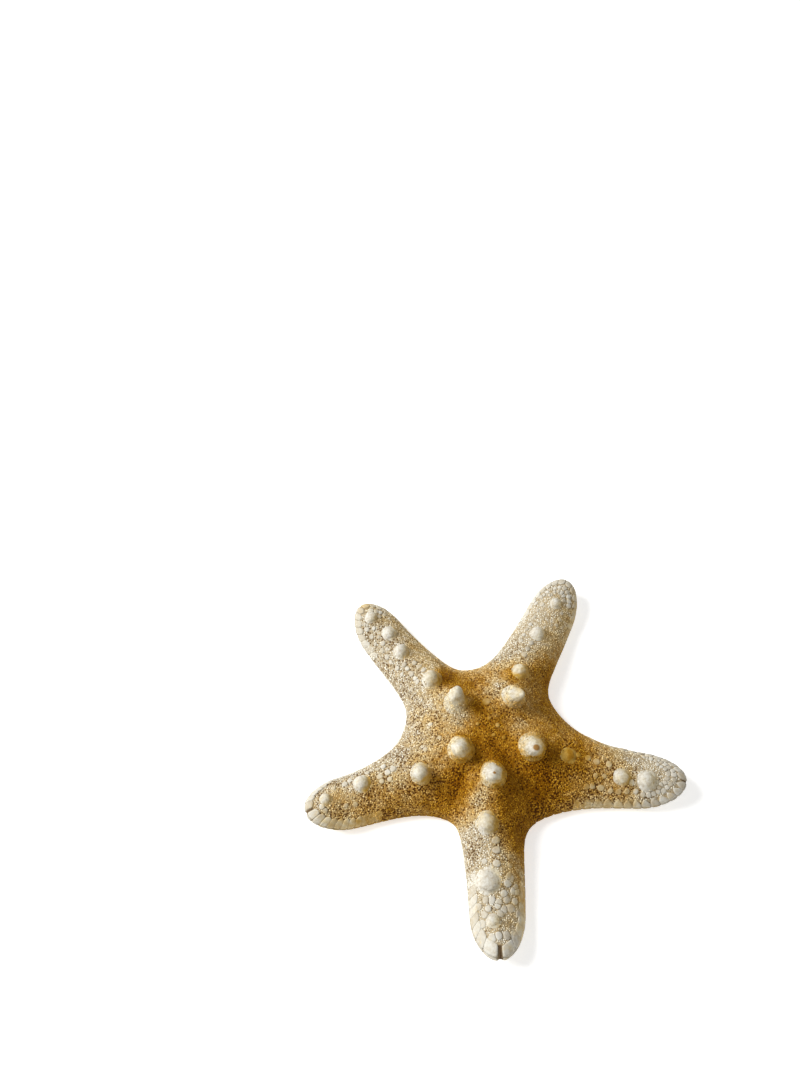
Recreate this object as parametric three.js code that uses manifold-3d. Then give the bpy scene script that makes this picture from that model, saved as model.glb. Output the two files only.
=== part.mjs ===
// A dried horned starfish: one rigid natural body with five arms, resting on its flat underside.
// Millimetres, +Z up. The top carries rows of blunt horns, the underside one groove along each arm.
// The origin is at the bottom centre of the bounding box; +Y points between the two far arms.
import * as THREE from "three";
import { mergeVertices } from "three/addons/utils/BufferGeometryUtils.js";
import Module from "manifold-3d";

// Heights of the body above the resting plane.
const DISC_HEIGHT = 17.5; // ridge height at the middle of the disc
const TIP_HEIGHT = 9; // ridge height near an arm's end
const RIM_HEIGHT = 3.4; // height of the widest line, where the side wall bulges most
const TIP_RIM_HEIGHT = 2.8; // the same at an arm's end
const RIM_RADIUS = 3.2; // how far in from the edge the underside rounds off to flat

// The groove on the underside of every arm, and the mouth where the five grooves meet.
const GROOVE_HALF_WIDTH = 1.5;
const GROOVE_DEPTH = 3.0;
const TIP_GROOVE_DEPTH = 2.2;
const MOUTH_RADIUS = 4.5;
const MOUTH_DEPTH = 3.6;
const MOUTH_END = 0.05; // a shallower hollow than this is left flat
const LIP_LIMIT = 0.8; // the groove's lip lies at most this share of the way out to the flat's edge

const CURL_LENGTH = 24; // the last stretch of an arm, which bends upwards
const TIP_LENGTH = 1.9; // length of the rounded arm end, in tip half widths
const AXIS_OVERRUN = 0.3; // how far the ridge line runs into the rounded end, in tip half widths
const AXIS_EASE = 1.9; // how quickly the ridge line is left behind near the disc's middle
const ROOF_CURVE = 1.7; // shape of the cross-section: 1 is a straight roof, 2 a round one
const ROOF_FULLNESS = 0.62;

// Arms, counter-clockwise. aim and curl in degrees, bow is the sideways bend at mid arm.
// Each horn is [along the arm, left of its axis, width, height, tip's shift along, tip's shift left].
const ARMS = [
  {
    name: "east", aim: -13.4, reach: 75.7, rootWidth: 10.2, tipWidth: 9.2, curl: 34, bow: -1.2,
    horns: [
      [17.5, -2.8, 10, 9.4, 1, -3.2], [30.5, -1.9, 6, 2.4, 0.4, 0],
      [50.2, -3.9, 6, 3.6, 0, 0], [59.1, -3.1, 7, 4.2, -0.6, 0],
    ],
  },
  {
    name: "north", aim: 60.8, reach: 75, rootWidth: 11.3, tipWidth: 8.5, curl: 30, bow: -0.6,
    horns: [
      [15.3, -3.6, 9, 9.4, -0.8, -3.6], [26.3, -1.4, 6.8, 5, 0.5, 0],
      [44.6, -0.1, 6.2, 4.2, 0.3, 0], [60, -0.6, 4.6, 2.6, -0.4, 0],
    ],
  },
  {
    name: "northwest", aim: 130.9, reach: 71.5, rootWidth: 10.4, tipWidth: 8.4, curl: 30, bow: 0.7,
    horns: [
      [13.5, 1.4, 8.6, 9.8, 1.5, -1.5], [26.3, 1.2, 7.2, 5.6, 0.5, 0.4], [43, 1.6, 6, 4.4, 0.3, 0],
      [52.1, -0.3, 5.8, 4, 0, 0], [61.8, 0.5, 4.4, 2.6, -0.5, 0],
    ],
  },
  {
    name: "west", aim: 203.8, reach: 71.2, rootWidth: 10, tipWidth: 9, curl: 34, bow: 1.3,
    horns: [
      [11, 3.6, 9.6, 8.8, 1.7, 2], [27, 5.1, 7, 5.8, 0.6, 0.6],
      [46.6, -1, 6.4, 4.4, 0.3, 0], [60.4, -1.2, 4.2, 2.2, -0.4, 0],
    ],
  },
  {
    name: "south", aim: 272, reach: 78, rootWidth: 10.8, tipWidth: 8.8, curl: 34, bow: 1,
    horns: [
      [16.9, 1.6, 9.6, 9.4, 1.7, -0.3], [32.4, -1.3, 7.8, 5.8, 0.5, -0.2],
      [50.7, -2, 7.8, 4.6, 0.3, -0.2], [63.4, -1.4, 4.2, 2.3, -0.5, 0],
    ],
  },
];
// The bays between the arms, each after the arm of the same place in the list.
const BAYS = [
  { aim: 27.7, radius: 30.2 },
  { aim: 98.5, radius: 28.1 },
  { aim: 166.7, radius: 28.9 },
  { aim: 245.1, radius: 31.8 },
  { aim: 301.5, radius: 34.6 },
];

// Mesh steps of the solid.
const STEPS_ALONG = 17;
const OUTLINE_SAMPLES = 240;
const PROFILE = [0, 0.09, 0.18, 0.27, 0.36, 0.45, 0.5, 0.55, 0.6, 0.65, 0.7, 0.8, 0.88, 0.94, 1];
const TOP_SHARE = 0.55; // share of the profile from the ridge down to the widest line
const RIM_SHARE = 0.7; // the rounded rim ends here and the flat underside starts
const LIP_SHARE = 0.88; // the flat ends here at the groove's lip

// Horns: [radius, height] in shares of half width and height, from a sunk root to a blunt point.
const HORN_OUTLINE = [[1.3, -0.02], [1.05, 0.2], [0.95, 0.48], [0.7, 0.8], [0.36, 0.95]];
const HORN_ROOT_DEPTH = 3;
const HORN_SIDES = 9;
const PLUMB_START = 70; // horns are dropped onto the body from this height

const { sin, cos, exp, min, max, abs, PI, hypot } = Math;
const rad = THREE.MathUtils.degToRad;
const mix = THREE.MathUtils.lerp;
const UP = new THREE.Vector3(0, 0, 1);
const DOWN = new THREE.Vector3(0, 0, -1);

// Half outline of an arm from the bay beside it to its tip, as points [along, aside] at equal steps.
function halfOutline(arm, bay, side) {
  const turn = rad(side * (bay.aim - arm.aim));
  const spread = ((turn % (2 * PI)) + 2 * PI) % (2 * PI);
  const start = bay.radius * cos(spread);
  const startWidth = bay.radius * sin(spread);
  const taper = (arm.tipWidth - arm.rootWidth) / (arm.reach - start);
  const flare = startWidth - arm.rootWidth;
  const fade = flare / (1 / Math.tan(spread) + taper);
  const width = (x) => arm.rootWidth + taper * (x - start) + flare * exp((start - x) / fade);
  const tipLength = TIP_LENGTH * arm.tipWidth;
  const shoulder = arm.reach - tipLength;
  const raw = [];
  for (let i = 0; i <= OUTLINE_SAMPLES; i++) {
    const x = mix(start, shoulder, i / OUTLINE_SAMPLES);
    raw.push([x, width(x)]);
  }
  for (let i = 1; i <= OUTLINE_SAMPLES; i++) {
    const angle = (i / OUTLINE_SAMPLES) * (PI / 2);
    const x = shoulder + tipLength * sin(angle);
    raw.push([x, width(x) * cos(angle)]);
  }
  raw[raw.length - 1][1] = 0;
  const lengths = [0];
  for (let i = 1; i < raw.length; i++) {
    lengths.push(lengths[i - 1] + hypot(raw[i][0] - raw[i - 1][0], raw[i][1] - raw[i - 1][1]));
  }
  const total = lengths[lengths.length - 1];
  let at = 0;
  return Array.from({ length: STEPS_ALONG + 1 }, (_, k) => {
    const wanted = (k / STEPS_ALONG) * total;
    while (at < lengths.length - 2 && lengths[at + 1] < wanted) at++;
    const f = min(1, (wanted - lengths[at]) / (lengths[at + 1] - lengths[at]));
    return [mix(raw[at][0], raw[at + 1][0], f), mix(raw[at][1], raw[at + 1][1], f)];
  });
}

// One point of the cross-section that runs from the ridge (u = 0) over the rim to the groove (u = 1):
// [share of the way from ridge line to edge, height].
function profilePoint(u, span, ridge, rim, lipShare) {
  if (u <= TOP_SHARE) {
    const out = u === TOP_SHARE ? 1 : sin((u / TOP_SHARE) * (PI / 2));
    return [out, rim + (ridge - rim) * (1 - out ** ROOF_CURVE) ** ROOF_FULLNESS];
  }
  if (u <= RIM_SHARE) {
    const angle = ((u - TOP_SHARE) / (RIM_SHARE - TOP_SHARE)) * (PI / 2);
    return [1 - (RIM_RADIUS / span) * (1 - cos(angle)), u === RIM_SHARE ? 0 : rim * (1 - sin(angle))];
  }
  const flatStart = 1 - RIM_RADIUS / span;
  const lip = min(LIP_LIMIT * flatStart, lipShare);
  if (u <= LIP_SHARE) return [mix(flatStart, lip, (u - RIM_SHARE) / (LIP_SHARE - RIM_SHARE)), 0];
  return [mix(lip, 0, (u - LIP_SHARE) / (1 - LIP_SHARE)), 0];
}

// Height of the groove's roof at a place [along, aside] of an arm.
function grooveHeight(x, y, reach) {
  const depth = mix(GROOVE_DEPTH, TIP_GROOVE_DEPTH, min(1, x / reach));
  const groove = depth * max(0, 1 - (abs(y) / GROOVE_HALF_WIDTH) ** 2);
  const mouth = MOUTH_DEPTH * exp(-((hypot(x, y) / MOUTH_RADIUS) ** 2));
  return max(groove, mouth > MOUTH_END ? mouth : 0);
}

// Bends the arm's end upwards along an arc and turns the arm to its aim.
function place(arm, x, y, z) {
  const bendStart = arm.reach - CURL_LENGTH;
  const perMm = rad(arm.curl) / CURL_LENGTH;
  const angle = max(0, x - bendStart) * perMm;
  const along = angle > 0 ? bendStart + sin(angle) / perMm - z * sin(angle) : x;
  const up = angle > 0 ? (1 - cos(angle)) / perMm + z * cos(angle) : z;
  const aim = rad(arm.aim);
  return [along * cos(aim) - y * sin(aim), along * sin(aim) + y * cos(aim), up];
}

const bowAt = (arm, t) => arm.bow * sin(PI * t ** 0.7) ** 2;

// A half arm as a grid of points: rows from the bay to the tip, columns round the cross-section.
function halfArmGrid(arm, bay, side) {
  const outline = halfOutline(arm, bay, side);
  const tipLength = TIP_LENGTH * arm.tipWidth;
  const axisEnd = arm.reach - tipLength + AXIS_OVERRUN * arm.tipWidth;
  return outline.map(([edgeX, edgeY], k) => {
    const t = k / STEPS_ALONG;
    const axis = axisEnd * (1 - (1 - t) ** AXIS_EASE);
    const ridge = mix(TIP_HEIGHT, DISC_HEIGHT, cos((PI / 2) * min(1, axis / (0.95 * arm.reach))) ** 2);
    const rim = mix(RIM_HEIGHT, TIP_RIM_HEIGHT, t);
    const span = hypot(edgeX - axis, edgeY);
    // The first row is shared with the next arm, so its lip may depend on the span alone.
    const lipShare = GROOVE_HALF_WIDTH / (k === 0 ? span * sin(PI / 5) : max(edgeY, 1e-6));
    return PROFILE.map((u) => {
      const [out, height] = profilePoint(u, span, ridge, rim, lipShare);
      const x = mix(axis, edgeX, out);
      const y = edgeY * out;
      const z = u > TOP_SHARE ? max(height, min(grooveHeight(x, y, arm.reach), rim)) : height;
      return place(arm, x, side * y + bowAt(arm, t), z);
    });
  });
}

// The body without its horns: ten half arms sewn along the ridges, the bays and the groove lines.
function bodyGeometry() {
  const positions = [];
  const quad = (a, b, c, d) => positions.push(...a, ...b, ...c, ...a, ...c, ...d);
  ARMS.forEach((arm, i) => {
    [[BAYS[i], 1], [BAYS[(i + BAYS.length - 1) % BAYS.length], -1]].forEach(([bay, side]) => {
      const grid = halfArmGrid(arm, bay, side);
      for (let k = 0; k < STEPS_ALONG; k++) {
        for (let j = 0; j < PROFILE.length - 1; j++) {
          const corners = [grid[k][j], grid[k + 1][j], grid[k + 1][j + 1], grid[k][j + 1]];
          quad(...(side > 0 ? corners : corners.reverse()));
        }
      }
    });
  });
  const geometry = new THREE.BufferGeometry();
  geometry.setAttribute("position", new THREE.Float32BufferAttribute(positions, 3));
  return geometry;
}

// A blunt horn about +Z with its root below zero.
function hornGeometry(width, height) {
  const half = width / 2;
  const points = [
    new THREE.Vector2(0, -HORN_ROOT_DEPTH),
    new THREE.Vector2(HORN_OUTLINE[0][0] * half, -HORN_ROOT_DEPTH),
    ...HORN_OUTLINE.map(([r, h]) => new THREE.Vector2(r * half, h * height)),
    new THREE.Vector2(0, height),
  ];
  return new THREE.LatheGeometry(points, HORN_SIDES).rotateX(PI / 2);
}

const wasm = await Module();
wasm.setup();

function solidOf(geometry) {
  const bare = new THREE.BufferGeometry().setAttribute("position", geometry.getAttribute("position"));
  if (geometry.index) bare.setIndex(geometry.index);
  const merged = mergeVertices(bare, 1e-3);
  const triangles = merged.index.array;
  const kept = [];
  for (let i = 0; i < triangles.length; i += 3) {
    const [a, b, c] = triangles.slice(i, i + 3);
    if (a !== b && b !== c && c !== a) kept.push(a, b, c);
  }
  return new wasm.Manifold(
    new wasm.Mesh({
      numProp: 3,
      vertProperties: merged.attributes.position.array,
      triVerts: new Uint32Array(kept),
    }),
  );
}

function geometryOf(solid) {
  const mesh = solid.getMesh();
  return new THREE.BufferGeometry()
    .setAttribute("position", new THREE.Float32BufferAttribute(mesh.vertProperties, 3))
    .setIndex(new THREE.BufferAttribute(mesh.triVerts, 1));
}

// Body and horns joined into one solid, the horns standing where a plumb line meets the top.
function starfishGeometry() {
  const body = bodyGeometry();
  const surface = new THREE.Mesh(body, new THREE.MeshBasicMaterial({ side: THREE.DoubleSide }));
  const plumb = new THREE.Raycaster();
  let solid = solidOf(body);
  for (const arm of ARMS) {
    for (const [along, left, width, height, shiftAlong, shiftLeft] of arm.horns) {
      const aim = rad(arm.aim);
      const foot = new THREE.Vector3(along, left, PLUMB_START).applyAxisAngle(UP, aim);
      plumb.set(foot, DOWN);
      foot.z = plumb.intersectObject(surface)[0].point.z;
      const lean = new THREE.Vector3(shiftAlong, shiftLeft, height).normalize().applyAxisAngle(UP, aim);
      const horn = hornGeometry(width, height)
        .applyQuaternion(new THREE.Quaternion().setFromUnitVectors(UP, lean))
        .translate(foot.x, foot.y, foot.z);
      solid = solid.add(solidOf(horn));
    }
  }
  const geometry = geometryOf(solid);
  geometry.computeBoundingBox();
  const box = geometry.boundingBox;
  const middle = box.getCenter(new THREE.Vector3());
  geometry.translate(-middle.x, -middle.y, -box.min.z);
  return geometry;
}

const starfish = new THREE.Mesh(
  starfishGeometry(),
  new THREE.MeshStandardMaterial({ color: 0xd8bd86, roughness: 0.85, metalness: 0 }),
);
starfish.name = "starfish";
starfish.geometry.computeVertexNormals();

const group = new THREE.Group();
group.add(starfish);
export default group;
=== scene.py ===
import math

import bmesh
import bpy
import numpy as np
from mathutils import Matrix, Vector, noise
from mathutils.bvhtree import BVHTree


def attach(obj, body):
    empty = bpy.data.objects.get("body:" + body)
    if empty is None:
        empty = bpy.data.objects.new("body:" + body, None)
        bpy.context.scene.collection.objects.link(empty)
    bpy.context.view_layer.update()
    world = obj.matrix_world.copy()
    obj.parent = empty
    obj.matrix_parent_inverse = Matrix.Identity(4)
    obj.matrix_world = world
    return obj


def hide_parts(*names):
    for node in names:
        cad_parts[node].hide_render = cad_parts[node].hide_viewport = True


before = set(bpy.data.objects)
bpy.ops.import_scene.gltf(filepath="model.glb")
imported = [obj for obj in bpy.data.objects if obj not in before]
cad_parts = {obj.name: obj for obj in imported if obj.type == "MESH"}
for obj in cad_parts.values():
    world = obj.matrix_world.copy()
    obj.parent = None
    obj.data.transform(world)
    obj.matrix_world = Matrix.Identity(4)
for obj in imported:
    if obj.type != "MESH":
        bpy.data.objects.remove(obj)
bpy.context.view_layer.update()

# ------------------------------------------------------------------ body
# The body of the sea star is one crust of small limy plates, bound by skin that dried hard. Five arms taper
# from a raised disc and curl up at their ends. The underside is flat, with a groove along every arm.
# Lengths are in millimetres from the disc's middle until a mesh is made.
DISC_HEIGHT = 17.5
TIP_HEIGHT = 9.0
RIM_HEIGHT = 3.4  # height of the widest line of the cross-section
TIP_RIM_HEIGHT = 2.8
RIM_RADIUS = 3.2  # how far in from the edge the underside rounds off to flat
GROOVE_HALF_WIDTH = 1.5
GROOVE_DEPTH = 3.0
TIP_GROOVE_DEPTH = 2.2
MOUTH_RADIUS = 4.5
MOUTH_DEPTH = 3.6
CURL_LENGTH = 24.0
TIP_LENGTH = 1.9  # length of the rounded arm end, in tip half widths
AXIS_OVERRUN = 0.3
AXIS_EASE = 1.9
ROOF_CURVE = 1.7
ROOF_FULLNESS = 0.62
SKIN_INSET = 0.4  # the skin lies this far inside the edge, which the edge plates fill
SKIN_LIFT = 0.5  # and this far above the resting plane, which the underside plates fill

ARMS = [
    dict(name="east", aim=-13.4, reach=75.7, root=10.2, tip=9.2, curl=34, bow=-1.2),
    dict(name="north", aim=60.8, reach=75.0, root=11.3, tip=8.5, curl=30, bow=-0.6),
    dict(name="northwest", aim=130.9, reach=71.5, root=10.4, tip=8.4, curl=30, bow=0.7),
    dict(name="west", aim=203.8, reach=71.2, root=10.0, tip=9.0, curl=34, bow=1.3),
    dict(name="south", aim=272.0, reach=78.0, root=10.8, tip=8.8, curl=34, bow=1.0),
]
BAYS = [(27.7, 30.2), (98.5, 28.1), (166.7, 28.9), (245.1, 31.8), (301.5, 34.6)]  # direction, radius


# Blunt horns stand in a ring on the disc and in one row down each arm, and the skin rises round their feet.
# A horn is: along the arm, left of its axis, width, height, tip's shift along, tip's shift left, worn tip's
# radius, how pointed it is, and how much of the stained skin still covers it.
HORNS = {
    "east": [
        (17.5, -2.8, 8.2, 9.4, 1.0, -2.8, 1.15, 0.15, 0.16), (30.5, -1.9, 5.0, 1.5, 0.4, 0, 0, 0.6, 0.85),
        (50.2, -3.9, 5.2, 2.4, 0, 0, 0, 0, 0.16), (59.1, -3.1, 6.2, 3.0, -0.6, 0, 0, 0, 0.10),
    ],
    "north": [
        (15.3, -3.6, 7.2, 9.2, -0.4, -3.2, 0, 0.5, 0.14), (26.3, -1.4, 5.6, 3.6, 0.5, 0, 0, 0.3, 0.26),
        (44.6, -0.1, 5.2, 2.8, 0.3, 0, 0, 0, 0.08), (60.0, -0.6, 3.8, 1.6, -0.4, 0, 0, 0, 0.10),
    ],
    "northwest": [
        (13.5, 1.4, 7.2, 9.6, 1.5, -1.5, 0, 0.15, 0.20), (26.3, 1.2, 6.2, 5.0, 0.5, 0.4, 0, 0.1, 0.22),
        (43.0, 1.6, 5.2, 3.4, 0.3, 0, 0, 0, 0.04), (52.1, -0.3, 5.0, 3.0, 0, 0, 0, 0, 0.03),
        (61.8, 0.5, 4.2, 2.2, -0.5, 0, 0, 0, 0.05),
    ],
    "west": [
        (11.0, 3.6, 7.8, 8.8, 1.7, 2.0, 0, 0.1, 0.16), (27.0, 5.1, 6.2, 5.4, 0.6, 0.6, 0, 0.1, 0.16),
        (46.6, -1.0, 5.4, 3.2, 0.3, 0, 0, 0.1, 0.14), (60.4, -1.2, 3.6, 1.8, -0.4, 0, 0, 0, 0.14),
    ],
    "south": [
        (16.9, 1.6, 7.8, 9.4, 1.7, -0.3, 0.5, 0.1, 0.14), (32.4, -1.3, 6.4, 4.4, 0.5, -0.2, 0, 0, 0.24),
        (50.7, -2.0, 7.6, 2.8, 0.3, -0.2, 0, 0, 0.04), (63.4, -1.4, 4.2, 1.6, -0.5, 0, 0, 0, 0.10),
    ],
}
SKIN_RISE = 0.36  # of a horn's height
SKIN_RISE_SPREAD = 0.78  # of its width
# Ochre stains of the dried skin: x and y from the disc's middle, radius, strength. A strength below 0 is a
# bare patch. The spots at (-13, 21) and (-8, 17) are painted shade in the crease between two horns, the spot
# at (-62, -29) is painted shade on the west arm's end, and the bare patch at (72, -16) is painted light on
# the east arm's end.
STAINS_AND_PAINTED_LIGHT = [
    (3, -4, 14, 0.8), (17, -18, 12, 0.9), (31, -9, 11, 0.6), (-14, -25, 11, 0.68), (-32, -24, 11, 0.3),
    (-1, 20, 8, 0.5), (-13, 21, 4, 1.0), (-8, 17, 5, 0.5), (11, 21, 4, 0.8), (24, 22, 8, 0.35),
    (-9, -18, 5, 0.75), (1, -27, 8, 0.5), (10, -35, 8, 0.45), (46, -18, 10, 0.25), (-44, -27, 11, 0.22),
    (-62, -29, 12, 0.22), (-44, 53, 4, 0.6), (-2, -24, 4.5, -1.2), (11, 0, 4.5, -1.1), (4, 16, 5, -0.8),
    (-7, 4, 5, -0.7), (25, 8, 9, 0.45), (14, 38, 9, -0.15), (0, -34, 6, -0.5), (72, -16, 9, -1.0),
    (5, -12, 4, 0.7), (-2, 9, 4, 0.7), (-6, -6, 4, 0.6),
]
# Each of these goes by the distance from the disc's middle: [distances], [values].
EVEN_STAIN = [15, 34, 50, 75], [0.33, 0.20, 0.10, 0.10]
FLANK_SHADE = [15, 35], [0.12, 0.32]  # painted shade, added on the flanks turned from the window light
STAIN_AND_SHADE_KEPT = [55, 70], [1, 0.45]  # share of the stain and of the painted shade that is left
PORES_KEPT = [60, 74], [1, 0.6]  # share of the pores' width that is left
# Breathing pores, in pore spacings: usual width, change and size of their clusters, change on the smooth side
# and on the near side, where the wider pores are painted shade, and the narrowest and widest pore.
PORE_WIDTH = 0.37
PORE_CLUSTER_CHANGE = 0.17
PORE_CLUSTER_SIZE = 5.5
PORE_SMOOTH_CHANGE = -0.22
PORE_SHADE_CHANGE = 0.05
PORE_LIMITS = (0.05, 0.52)
# Places with narrower pores: x, y, radius, and by how much. The place at (70, -16) lightens the east arm's
# end: painted light.
NARROW_PORES = [(27, 46, 17, 0.2), (70, -16, 13, 0.2), (2, -58, 13, 0.13), (-60, -34, 10, 0.08)]
SHADED_SIDE = math.radians(-12)  # painted shade: the flanks turned this way, away from the window light, are painted more ochre
SMOOTH_SIDE = math.radians(30)  # and the flanks turned this way have the narrowest pores


def mix(a, b, share):
    """From a to b by a share of the way."""
    return a + (b - a) * share


def along_arm(arm, along, left):
    """A place on an arm, from the disc's middle."""
    aim = math.radians(arm["aim"])
    outward, leftward = np.array([math.cos(aim), math.sin(aim)]), np.array([-math.sin(aim), math.cos(aim)])
    return along * outward + left * leftward


ALL_HORNS = [(arm, horn) for arm in ARMS for horn in HORNS[arm["name"]]]
HORN_PLACES = np.array([along_arm(arm, horn[0], horn[1]) for arm, horn in ALL_HORNS])
HORN_WIDTHS = np.array([horn[2] for _, horn in ALL_HORNS])
HORN_HEIGHTS = np.array([horn[3] for _, horn in ALL_HORNS])


def horn_distances(points):
    """From every point, seen from above, to the middle of every horn."""
    return np.linalg.norm(np.asarray(points)[:, None, :2] - HORN_PLACES[None], axis=2)


def skin_rise(points):
    """How much higher the skin stands over the plain body, where it climbs a horn's foot."""
    spread = horn_distances(points) / (SKIN_RISE_SPREAD * HORN_WIDTHS)
    return (SKIN_RISE * HORN_HEIGHTS * np.exp(-(spread**2))).max(axis=1)


def facing_side(outward, side):
    return outward[:, 0] * math.cos(side) + outward[:, 1] * math.sin(side)


def spread_over(points, x, y, radius):
    """1 at a place seen from above, fading to 0 about twice the radius away from it."""
    away = np.hypot(points[:, 0] - x, points[:, 1] - y)
    return np.exp(-((away / radius) ** 2))


def stain_and_shade_at(points, outward):
    """How ochre the dried skin is, from 0 for bare cream to 1: stains by place, and painted shade by the way
    the skin faces.
    """
    clean = np.ones(len(points))
    for x, y, radius, strength in STAINS_AND_PAINTED_LIGHT:
        clean *= 1 - strength * spread_over(points, x, y, radius)
    far = np.hypot(points[:, 0], points[:, 1])
    clean *= 1 - np.interp(far, *EVEN_STAIN)
    # painted shade: more ochre on the flanks turned from the window light
    stain_and_shade = 1 - clean + facing_side(outward, SHADED_SIDE) * np.interp(far, *FLANK_SHADE)
    return np.clip(stain_and_shade * np.interp(far, *STAIN_AND_SHADE_KEPT), 0, 1)


def pore_at(points, outward):
    """How wide the breathing pores are: in clusters, and narrow on the smooth side and toward the ends."""
    clusters = np.array([noise.noise(Vector(point) / PORE_CLUSTER_SIZE) for point in points])
    pores = PORE_WIDTH + PORE_CLUSTER_CHANGE * clusters
    pores += PORE_SMOOTH_CHANGE * np.clip(facing_side(outward, SMOOTH_SIDE), 0, 0.7)
    # painted shade: wider, darker pores on the near flanks, which are turned from the window light
    pores += PORE_SHADE_CHANGE * np.clip(-outward[:, 1], 0, 0.8)
    for x, y, radius, narrower in NARROW_PORES:
        pores -= narrower * spread_over(points, x, y, radius)
    return np.clip(pores, *PORE_LIMITS) * np.interp(np.hypot(points[:, 0], points[:, 1]), *PORES_KEPT)


class HalfArm:
    """One side of an arm. t runs along its edge from the bay to the arm's end. v runs round its section:
    0 at the ridge, 1 at the widest line, 2 where the flat underside starts and 3 at the groove line."""

    def __init__(self, arm, bay, side):
        self.arm, self.side = arm, side
        bay_aim, bay_radius = bay
        turn = math.radians(side * (bay_aim - arm["aim"])) % math.tau
        start, start_width = bay_radius * math.cos(turn), bay_radius * math.sin(turn)
        taper = (arm["tip"] - arm["root"]) / (arm["reach"] - start)
        flare = start_width - arm["root"]
        fade = flare / (1 / math.tan(turn) + taper)
        tip_length = TIP_LENGTH * arm["tip"]
        shoulder = arm["reach"] - tip_length

        def width(x):
            return arm["root"] + taper * (x - start) + flare * np.exp((start - x) / fade)

        straight = np.linspace(start, shoulder, 600)
        angle = np.linspace(0, math.pi / 2, 601)[1:]
        rounded = shoulder + tip_length * np.sin(angle)
        self.edge_x = np.concatenate([straight, rounded])
        self.edge_y = np.concatenate([width(straight), width(rounded) * np.cos(angle)])
        steps = np.hypot(np.diff(self.edge_x), np.diff(self.edge_y))
        self.length = steps.sum()
        self.edge_t = np.concatenate([[0], np.cumsum(steps)]) / self.length
        self.axis_end = shoulder + AXIS_OVERRUN * arm["tip"]

    def section(self, t):
        """Edge point, ridge point, their distance, and the heights of ridge and rim, at t."""
        edge_x = np.interp(t, self.edge_t, self.edge_x)
        edge_y = np.interp(t, self.edge_t, self.edge_y)
        axis = self.axis_end * (1 - (1 - t) ** AXIS_EASE)
        span = np.hypot(edge_x - axis, edge_y)
        slope = np.cos(math.pi / 2 * np.minimum(1, axis / (0.95 * self.arm["reach"]))) ** 2
        ridge, rim = mix(TIP_HEIGHT, DISC_HEIGHT, slope), mix(RIM_HEIGHT, TIP_RIM_HEIGHT, t)
        return edge_x, edge_y, axis, span, ridge, rim

    def points(self, t, v):
        t, v = np.broadcast_arrays(np.asarray(t, float), np.asarray(v, float))
        t = np.clip(t, 0, 1)
        edge_x, edge_y, axis, span, ridge, rim = self.section(t)
        top, under = v <= 1, v >= 2
        turn = (np.clip(v, 1, 2) - 1) * math.pi / 2
        rounded = 1 - RIM_RADIUS / span * (1 - np.cos(turn))
        out = np.where(top, np.sin(np.clip(v, 0, 1) * math.pi / 2), rounded)
        out = np.where(under, (1 - RIM_RADIUS / span) * (3 - v), out)
        roof = np.maximum(0, 1 - np.where(top, out, 1) ** ROOF_CURVE) ** ROOF_FULLNESS
        height = np.where(top, mix(rim, ridge, roof), rim * (1 - np.sin(turn)))
        out = out * (1 - SKIN_INSET / span)
        x, y = mix(axis, edge_x, out), edge_y * out
        height = np.where(top, height, np.maximum(height, np.minimum(self.groove(x, y), rim)))
        height = height + SKIN_LIFT * np.clip(1 - height / RIM_HEIGHT, 0, 1)
        bow = self.arm["bow"] * np.sin(math.pi * t**0.7) ** 2
        return self.placed(x, self.side * y + bow, height)

    def inland(self, t, v):
        """How far a place on the back lies in from the edge, seen from above."""
        return self.section(t)[3] * (1 - np.sin(v * math.pi / 2))

    def back_at(self, t, inland):
        """The v of the place on the back that lies this far in from the edge."""
        return np.arcsin(1 - inland / self.section(t)[3]) * 2 / math.pi

    def groove(self, x, y):
        depth = mix(GROOVE_DEPTH, TIP_GROOVE_DEPTH, np.minimum(1, x / self.arm["reach"]))
        groove = depth * np.maximum(0, 1 - (y / GROOVE_HALF_WIDTH) ** 2)
        return np.maximum(groove, MOUTH_DEPTH * np.exp(-((x * x + y * y) / MOUTH_RADIUS**2)))

    def placed(self, x, y, z):
        """Bends the arm's end upwards along an arc and turns the arm to its aim."""
        bend_start = self.arm["reach"] - CURL_LENGTH
        per_mm = math.radians(self.arm["curl"]) / CURL_LENGTH
        angle = np.maximum(0, x - bend_start) * per_mm
        along = np.where(angle > 0, bend_start + (1 / per_mm - z) * np.sin(angle), x)
        up = np.where(angle > 0, 1 / per_mm - (1 / per_mm - z) * np.cos(angle), z)
        aim = math.radians(self.arm["aim"])
        turned_x = along * math.cos(aim) - y * math.sin(aim)
        turned_y = along * math.sin(aim) + y * math.cos(aim)
        return np.stack([turned_x, turned_y, up], axis=-1)

    def normals(self, t, v, step=0.02):
        across = self.points(t, v + step) - self.points(t, v - step)
        along = self.points(np.minimum(t + step, 1), v) - self.points(np.maximum(t - step, 0), v)
        normal = np.cross(across, along) * -self.side
        return normal / np.maximum(np.linalg.norm(normal, axis=-1, keepdims=True), 1e-9)


HALVES = [HalfArm(arm, BAYS[i - (side < 0)], side) for i, arm in enumerate(ARMS) for side in (1, -1)]


def piece(name, points, faces, material, smooth=True):
    """A mesh object of the sea star from points in millimetres, riding on its one body."""
    mesh = bpy.data.meshes.new(name)
    mesh.from_pydata((np.asarray(points) * 0.001).tolist(), [], faces)
    mesh.polygons.foreach_set("use_smooth", [smooth] * len(mesh.polygons))
    mesh.materials.append(material)
    made = bpy.data.objects.new(name, mesh)
    bpy.context.collection.objects.link(made)
    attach(made, "root")
    return made


def float_attribute(made, name, values):
    """Stores a number on every point of a piece."""
    attribute = made.data.attributes.new(name, "FLOAT", "POINT")
    attribute.data.foreach_set("value", np.asarray(values, float))


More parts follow.
